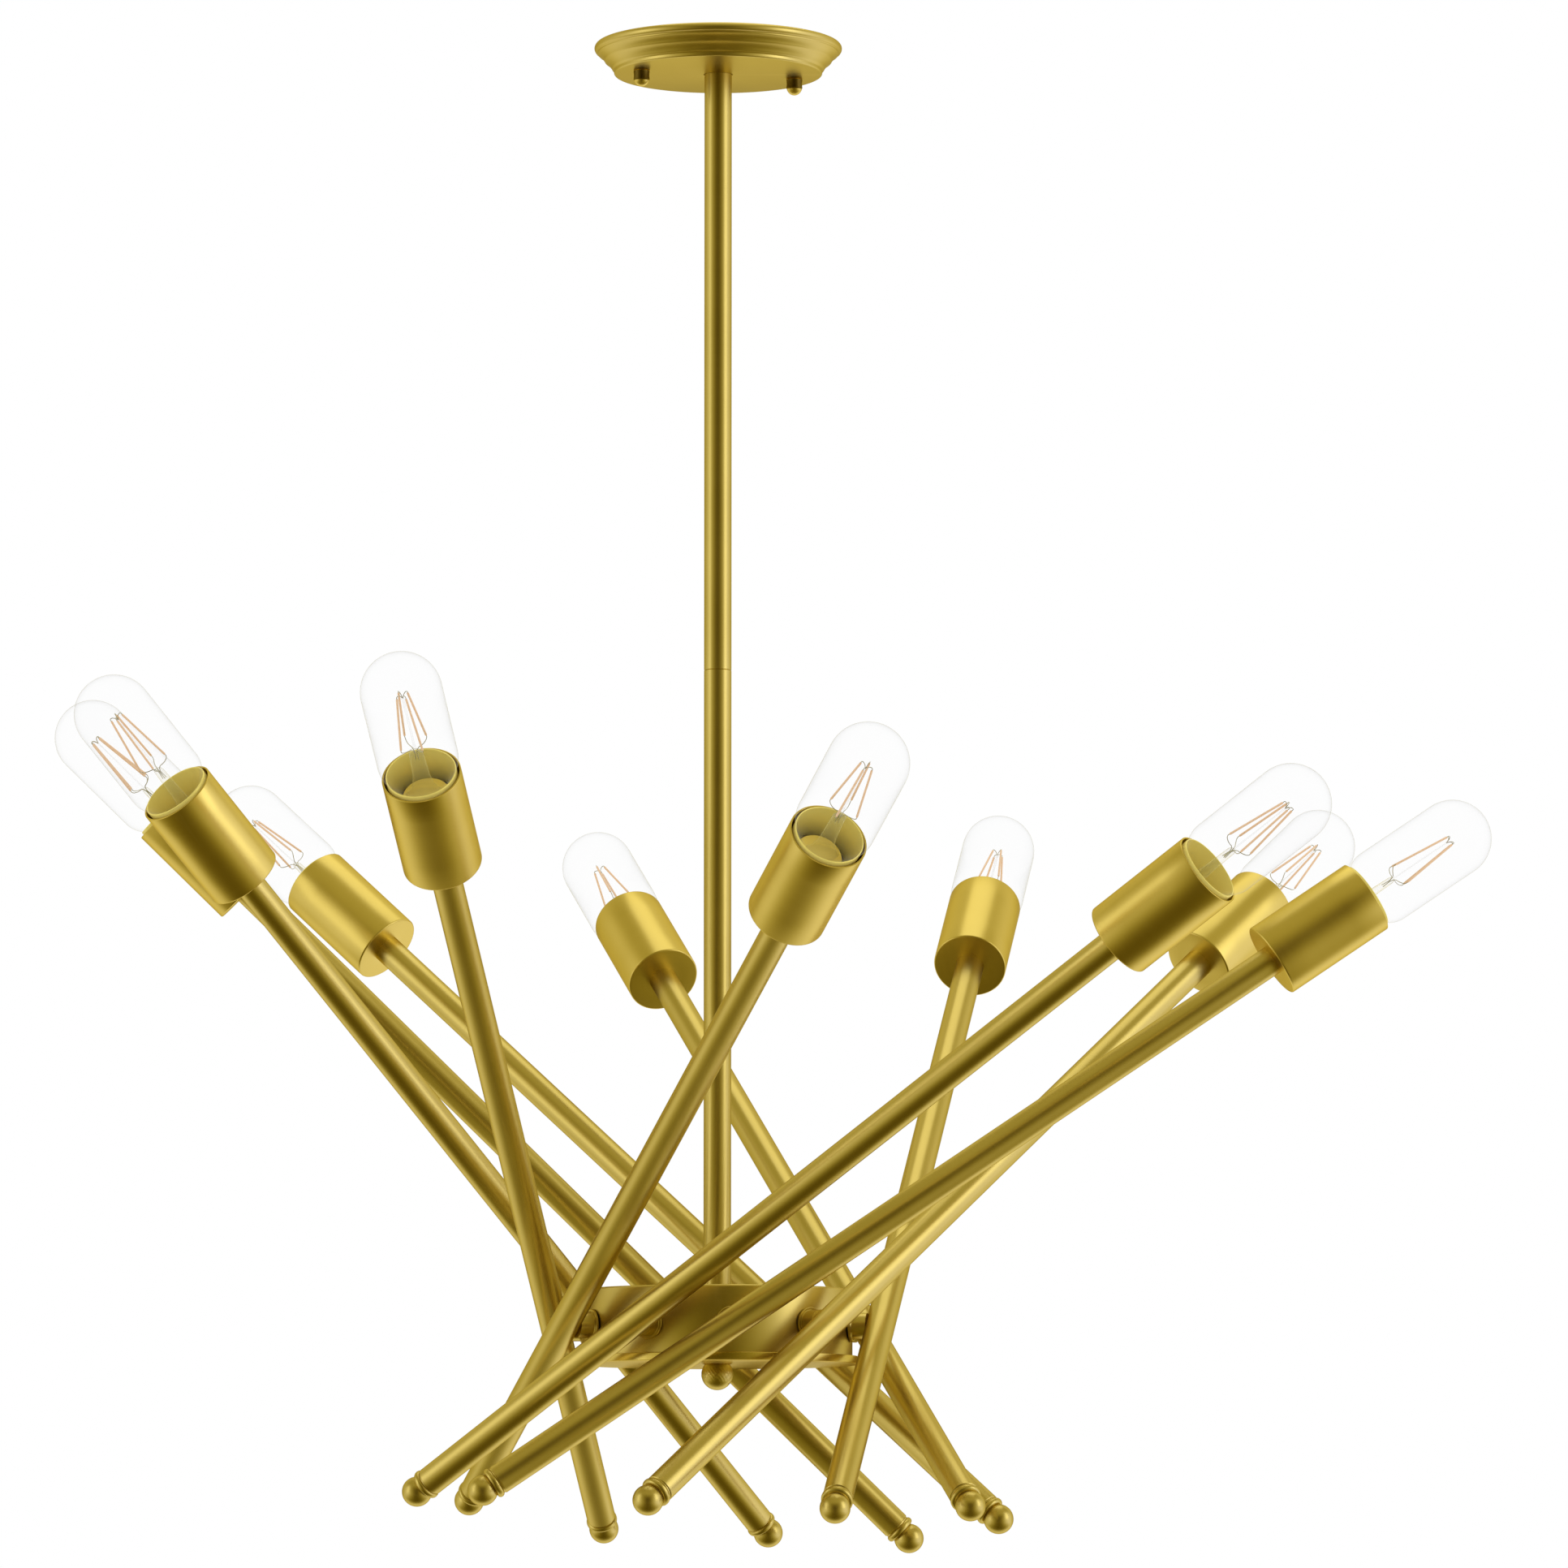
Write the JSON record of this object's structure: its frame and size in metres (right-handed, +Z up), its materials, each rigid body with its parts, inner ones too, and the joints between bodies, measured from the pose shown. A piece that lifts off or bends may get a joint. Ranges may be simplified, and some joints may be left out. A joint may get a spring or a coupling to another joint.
{
  "type": "chandelier",
  "caption": "Sputnik chandelier: a round hub on a two-piece rod under a fluted ceiling canopy, with swivelling straight arms that end in cup sockets and clear tubular filament bulbs.",
  "frame": {"origin": "Middle of the ceiling face: where the ceiling bar meets the ceiling, on the stem's axis.", "axes": "+Z points up out of the ceiling face along the stem, +X runs along the ceiling bar and its two slots, and the picture looks along +Y from a little below."},
  "size_m": [0.8367, 0.8632, 0.8815],
  "materials": {
    "brass": "satin brushed",
    "steel": "zinc plated",
    "phenolic": "moulded phenolic",
    "glass": "clear",
    "cap_metal": "plain"
  },
  "bodies": {
    "fixture": {"ceiling_bar": "steel", "swivel_bar": "steel", "canopy": "brass", "canopy_fasteners": "brass", "stem_upper": "brass", "stem_lower": "brass", "threaded_pipes": "steel", "hub_shell": "brass", "hub_cover": "brass", "hub_finial": "brass"},
    "arm_body_01": {"arm_01": "brass", "socket_cup_01": "brass", "lampholder_01": "phenolic"},
    "bulb_01": {"bulb_glass_01": "glass", "bulb_cap_01": "cap_metal"},
    "arm_body_02": {"arm_02": "brass", "socket_cup_02": "brass", "lampholder_02": "phenolic"},
    "bulb_02": {"bulb_glass_02": "glass", "bulb_cap_02": "cap_metal"},
    "arm_body_03": {"arm_03": "brass", "socket_cup_03": "brass", "lampholder_03": "phenolic"},
    "bulb_03": {"bulb_glass_03": "glass", "bulb_cap_03": "cap_metal"},
    "arm_body_04": {"arm_04": "brass", "socket_cup_04": "brass", "lampholder_04": "phenolic"},
    "bulb_04": {"bulb_glass_04": "glass", "bulb_cap_04": "cap_metal"},
    "arm_body_05": {"arm_05": "brass", "socket_cup_05": "brass", "lampholder_05": "phenolic"},
    "bulb_05": {"bulb_glass_05": "glass", "bulb_cap_05": "cap_metal"},
    "arm_body_06": {"arm_06": "brass", "socket_cup_06": "brass", "lampholder_06": "phenolic"},
    "bulb_06": {"bulb_glass_06": "glass", "bulb_cap_06": "cap_metal"},
    "arm_body_07": {"arm_07": "brass", "socket_cup_07": "brass", "lampholder_07": "phenolic"},
    "bulb_07": {"bulb_glass_07": "glass", "bulb_cap_07": "cap_metal"},
    "arm_body_08": {"arm_08": "brass", "socket_cup_08": "brass", "lampholder_08": "phenolic"},
    "bulb_08": {"bulb_glass_08": "glass", "bulb_cap_08": "cap_metal"},
    "arm_body_09": {"arm_09": "brass", "socket_cup_09": "brass", "lampholder_09": "phenolic"},
    "bulb_09": {"bulb_glass_09": "glass", "bulb_cap_09": "cap_metal"},
    "arm_body_10": {"arm_10": "brass", "socket_cup_10": "brass", "lampholder_10": "phenolic"},
    "bulb_10": {"bulb_glass_10": "glass", "bulb_cap_10": "cap_metal"}
  },
  "joints": [
    {"name": "arm_swivel_01", "type": "hinge", "parent": "fixture", "child": "arm_body_01", "pos_m": [0.01021, -0.09556, -0.7526], "axis": [-0.1063, 0.9943, 0], "range_deg": [-21.1, 8.9]},
    {"name": "bulb_out_01", "type": "slide", "parent": "arm_body_01", "child": "bulb_01", "axis": [0.8253, 0.0882, 0.5577], "range_m": [0, 0.075]},
    {"name": "arm_swivel_02", "type": "hinge", "parent": "fixture", "child": "arm_body_02", "pos_m": [0.06443, -0.0713, -0.7526], "axis": [-0.6704, 0.742, 0], "range_deg": [-18.5, 11.5]},
    {"name": "bulb_out_02", "type": "slide", "parent": "arm_body_02", "child": "bulb_02", "axis": [0.5964, 0.5389, 0.5948], "range_m": [0, 0.075]},
    {"name": "arm_swivel_03", "type": "hinge", "parent": "fixture", "child": "arm_body_03", "pos_m": [0.09403, -0.01982, -0.7526], "axis": [-0.9785, 0.2062, 0], "range_deg": [-16.7, 13.3]},
    {"name": "bulb_out_03", "type": "slide", "parent": "arm_body_03", "child": "bulb_03", "axis": [0.1618, 0.7679, 0.6198], "range_m": [0, 0.075]},
    {"name": "arm_swivel_04", "type": "hinge", "parent": "fixture", "child": "arm_body_04", "pos_m": [0.08772, 0.03924, -0.7526], "axis": [-0.9128, -0.4083, 0], "range_deg": [-17.7, 12.3]},
    {"name": "bulb_out_04", "type": "slide", "parent": "arm_body_04", "child": "bulb_04", "axis": [-0.3248, 0.7261, 0.606], "range_m": [0, 0.075]},
    {"name": "arm_swivel_05", "type": "hinge", "parent": "fixture", "child": "arm_body_05", "pos_m": [0.0479, 0.08331, -0.7526], "axis": [-0.4985, -0.8669, 0], "range_deg": [-15.3, 14.7]},
    {"name": "bulb_out_05", "type": "slide", "parent": "arm_body_05", "child": "bulb_05", "axis": [-0.667, 0.3835, 0.6388], "range_m": [0, 0.075]},
    {"name": "arm_swivel_06", "type": "hinge", "parent": "fixture", "child": "arm_body_06", "pos_m": [-0.01021, 0.09556, -0.7526], "axis": [0.1063, -0.9943, 0], "range_deg": [-10.9, 19.1]},
    {"name": "bulb_out_06", "type": "slide", "parent": "arm_body_06", "child": "bulb_06", "axis": [-0.7141, -0.0763, 0.6959], "range_m": [0, 0.075]},
    {"name": "arm_swivel_07", "type": "hinge", "parent": "fixture", "child": "arm_body_07", "pos_m": [-0.06443, 0.0713, -0.7526], "axis": [0.6704, -0.742, 0], "range_deg": [-12.7, 17.3]},
    {"name": "bulb_out_07", "type": "slide", "parent": "arm_body_07", "child": "bulb_07", "axis": [-0.5488, -0.4959, 0.673], "range_m": [0, 0.075]},
    {"name": "arm_swivel_08", "type": "hinge", "parent": "fixture", "child": "arm_body_08", "pos_m": [-0.09403, 0.01982, -0.7526], "axis": [0.9785, -0.2062, 0], "range_deg": [-13.7, 16.3]},
    {"name": "bulb_out_08", "type": "slide", "parent": "arm_body_08", "child": "bulb_08", "axis": [-0.1549, -0.7351, 0.66], "range_m": [0, 0.075]},
    {"name": "arm_swivel_09", "type": "hinge", "parent": "fixture", "child": "arm_body_09", "pos_m": [-0.08772, -0.03924, -0.7526], "axis": [0.9128, 0.4083, 0], "range_deg": [-20.3, 9.7]},
    {"name": "bulb_out_09", "type": "slide", "parent": "arm_body_09", "child": "bulb_09", "axis": [0.3357, -0.7505, 0.5693], "range_m": [0, 0.075]},
    {"name": "arm_swivel_10", "type": "hinge", "parent": "fixture", "child": "arm_body_10", "pos_m": [-0.0479, -0.08331, -0.7526], "axis": [0.4985, 0.8669, 0], "range_deg": [-21.6, 8.4]},
    {"name": "bulb_out_10", "type": "slide", "parent": "arm_body_10", "child": "bulb_10", "axis": [0.7237, -0.4162, 0.5505], "range_m": [0, 0.075]}
  ]
}
